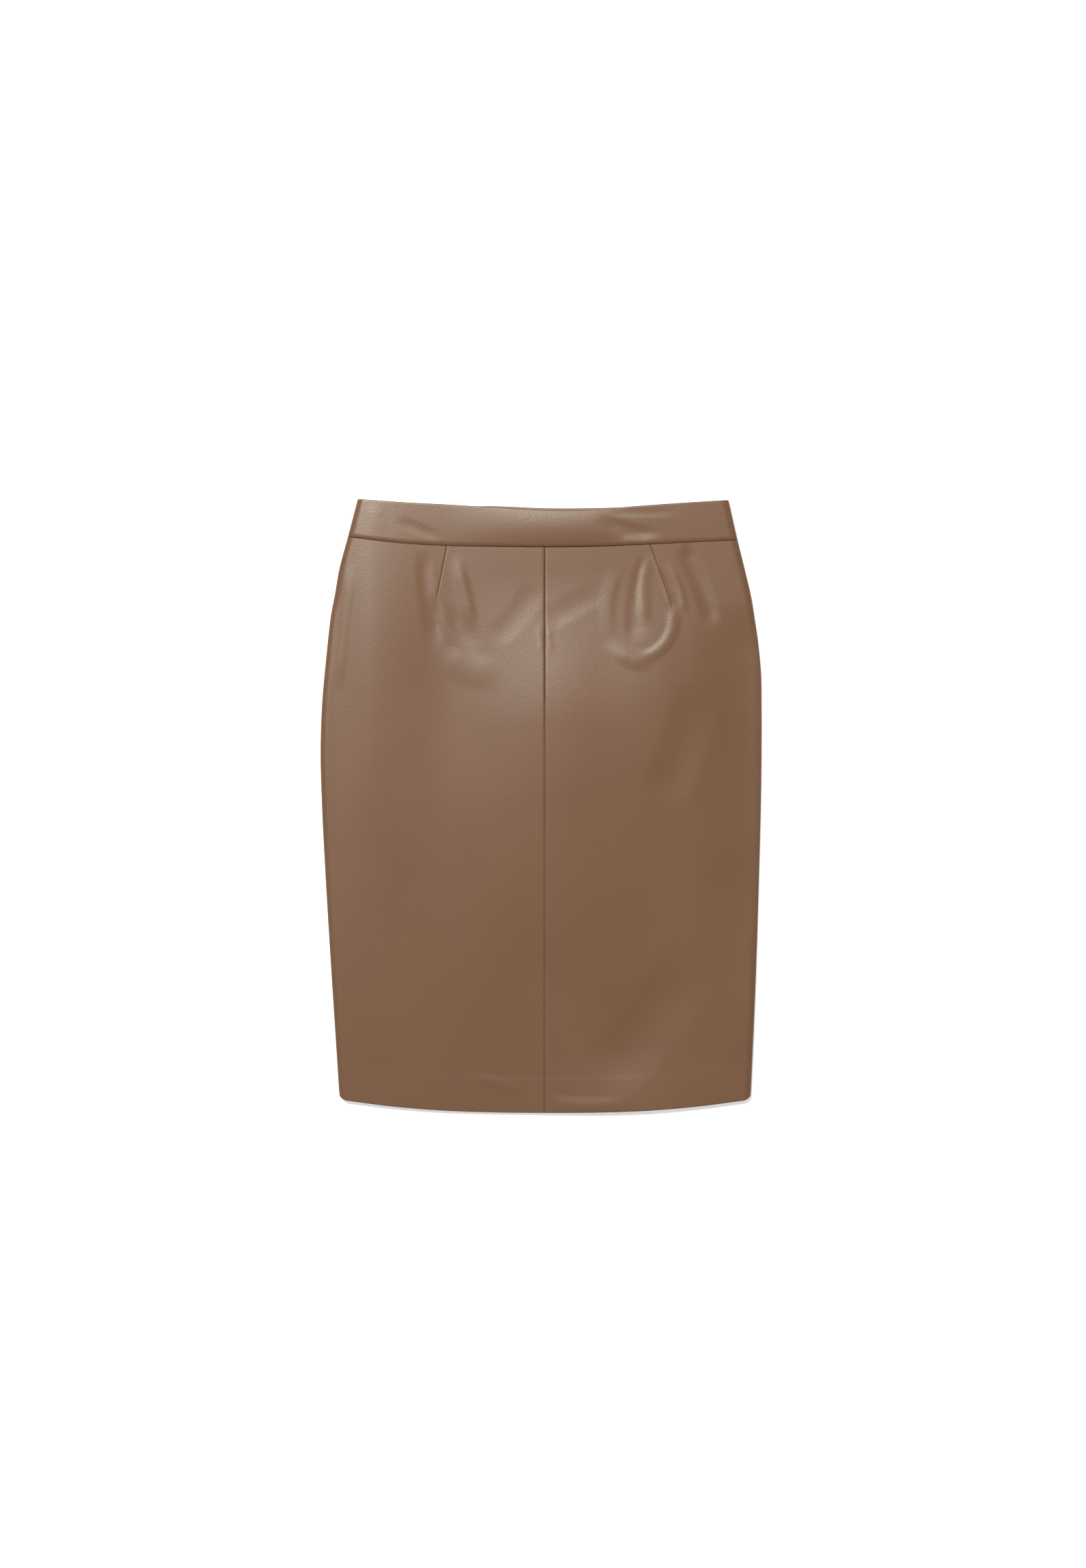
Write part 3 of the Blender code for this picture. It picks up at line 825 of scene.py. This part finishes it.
def makeFrontBand(name):
    part = frontBand
    down = bandRows(part["rowStep"])
    wall = np.full(len(down), skirt["bandWall"])
    left = panelColumns(down, -1, skirt["centreX"], part["step"])
    right = panelColumns(down, 1, skirt["centreX"], part["step"])
    x = np.hstack([left, right[:, -2::-1]])
    points = frontPoints(x, down, wall)
    across, turn, _, y = rowPlaces(x, down)
    bulge = part["roll"] * (1.0 - (2.0 * down / skirt["bandHeight"] - 1.0) ** 2)
    lean = part["lean"] * (1.0 - down / skirt["bandHeight"])
    most = np.exp(-(((x - part["rollMiddle"]) / part["rollReach"]) ** 2))
    points[..., 2] += ((bulge + lean)[:, None] * most + part["stand"] * (1.0 - across**4)) * turn
    for mark in part["creases"].values():
        points[..., 2] += creaseHeight(mark, x, y) * turn
    fromSide = alongRow(points)
    fromSide = np.minimum(fromSide, fromSide[:, -1:] - fromSide)
    fromSeam = down[-1] - down
    seamDrop = part["seamDepth"] * turnedEdge(fromSeam, part["seamRadius"])
    seamDrop = seamDrop + part["tuckDepth"] * turnedEdge(fromSeam, part["tuckRadius"])
    topEdge = cutEdge(down, wall[0])
    outerDrop = np.maximum(seamDrop[:, None] * np.ones(x.shape), topEdge)
    outerDrop = np.maximum(outerDrop, part["sideDepth"] * turnedEdge(fromSide, part["sideRadius"]))
    innerDrop = topEdge * np.ones(x.shape)
    coated = np.ones(len(down), bool)
    made = clothShell(name, points, wall, 1, {0: "side", -1: "side"}, outerDrop, innerDrop, coated)
    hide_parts(name)
    return made


backBand = {
    "step": 0.0030,
    "rowStep": 0.0030,
    "seamRadius": 0.0014,
    "seamDepth": 0.0006,
}


def makeBackBand(name, side):
    part = backBand
    down = bandRows(part["rowStep"])
    wall = np.full(len(down), skirt["bandWall"])
    centre = skirt["centreX"] + side * skirt["seamGap"] / 2
    x = panelColumns(down, side, centre, part["step"])
    points = backPoints(x, down)
    seamDrop = np.maximum(
        turnedEdge(alongRow(points), part["seamRadius"]),
        turnedEdge(down[-1] - down, part["seamRadius"])[:, None],
    )
    seamDrop = np.maximum(seamDrop, turnedEdge(np.abs(x - centre), part["seamRadius"]))
    topEdge = cutEdge(down, wall[0])
    outerDrop = np.maximum(part["seamDepth"] * seamDrop, topEdge)
    innerDrop = topEdge * np.ones(x.shape)
    coated = np.ones(len(down), bool)
    made = clothShell(name, points, wall, -1, {0: "side", -1: "centre"}, outerDrop, innerDrop, coated)
    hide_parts(name)
    return made


leftFront = frontPanel("front_left", -1)
rightFront = frontPanel("front_right", 1)
print("front panels laid")
leftBack = backPanel("back_left", -1)
rightBack = backPanel("back_right", 1)
print("back panels laid")
frontWaistband = makeFrontBand("waistband_front")
leftBackBand = makeBackBand("waistband_back_left", -1)
rightBackBand = makeBackBand("waistband_back_right", 1)
print("waistband laid")
floorLook = {
    "size": 30.0,
    "colour": (0.90, 0.90, 0.90, 1.0),
    "roughness": 0.9,
    "glow": 0.5,  # a light table, so shadows stay faint
    "below": 0.0003,
}


def makeFloor(look):
    half = look["size"] / 2
    mesh = bpy.data.meshes.new("floor")
    corners = [(-half, -half), (half, -half), (half, half), (-half, half)]
    mesh.from_pydata([(x, y, -look["below"]) for x, y in corners], [], [(0, 1, 2, 3)])
    made, _, _, shader = newMaterial("paleFloor")
    shader.inputs["Base Color"].default_value = look["colour"]
    shader.inputs["Roughness"].default_value = look["roughness"]
    shader.inputs["Specular IOR Level"].default_value = 0.0
    shader.inputs["Emission Color"].default_value = look["colour"]
    shader.inputs["Emission Strength"].default_value = look["glow"]
    mesh.materials.append(made)
    floor = bpy.data.objects.new("floor", mesh)
    bpy.context.scene.collection.objects.link(floor)


makeFloor(floorLook)

lighting = {
    "worldColour": (1.0, 1.0, 1.0, 1.0),
    "worldStrength": 0.35,
    "keyPlace": (-1.1, 2.1, 4.4),
    "keySize": (1.2, 1.0),
    "keyPower": 280.0,
    "keyColour": (0.99, 1.0, 0.93),
}


def makeLights(look):
    world = bpy.data.worlds.new("studio")
    world.use_nodes = True
    sky = world.node_tree.nodes["Background"]
    sky.inputs["Color"].default_value = look["worldColour"]
    sky.inputs["Strength"].default_value = look["worldStrength"]
    bpy.context.scene.world = world
    lamp = bpy.data.lights.new("keySoftbox", "AREA")
    lamp.shape = "RECTANGLE"
    lamp.size, lamp.size_y = look["keySize"]
    lamp.energy = look["keyPower"]
    lamp.color = look["keyColour"]
    key = bpy.data.objects.new("keySoftbox", lamp)
    key.location = look["keyPlace"]
    key.rotation_euler = key.location.to_track_quat("Z", "Y").to_euler()
    bpy.context.scene.collection.objects.link(key)


makeLights(lighting)

photoFrame = {
    "pixels": (1596, 2305),
    "metresPerPixel": 0.000708,
    "originPixel": (795, 1185),  # where the skirt's middle lies in the frame
    "distance": 3.2,
    "skirtHeight": 0.010,
}


def makeCamera(view):
    wide, high = view["pixels"]
    originX, originY = view["originPixel"]
    scale = view["metresPerPixel"]
    lens = bpy.data.cameras.new("camera")
    lens.sensor_fit = "VERTICAL"
    lens.sensor_height = 36.0
    lens.lens = lens.sensor_height * view["distance"] / (high * scale)
    camera = bpy.data.objects.new("camera", lens)
    camera.location = (
        (wide / 2 - originX) * scale,
        (originY - high / 2) * scale,
        view["skirtHeight"] + view["distance"],
    )
    bpy.context.scene.collection.objects.link(camera)
    bpy.context.scene.camera = camera


makeCamera(photoFrame)
bpy.context.scene.view_settings.view_transform = "Standard"
print("floor, light and camera set")
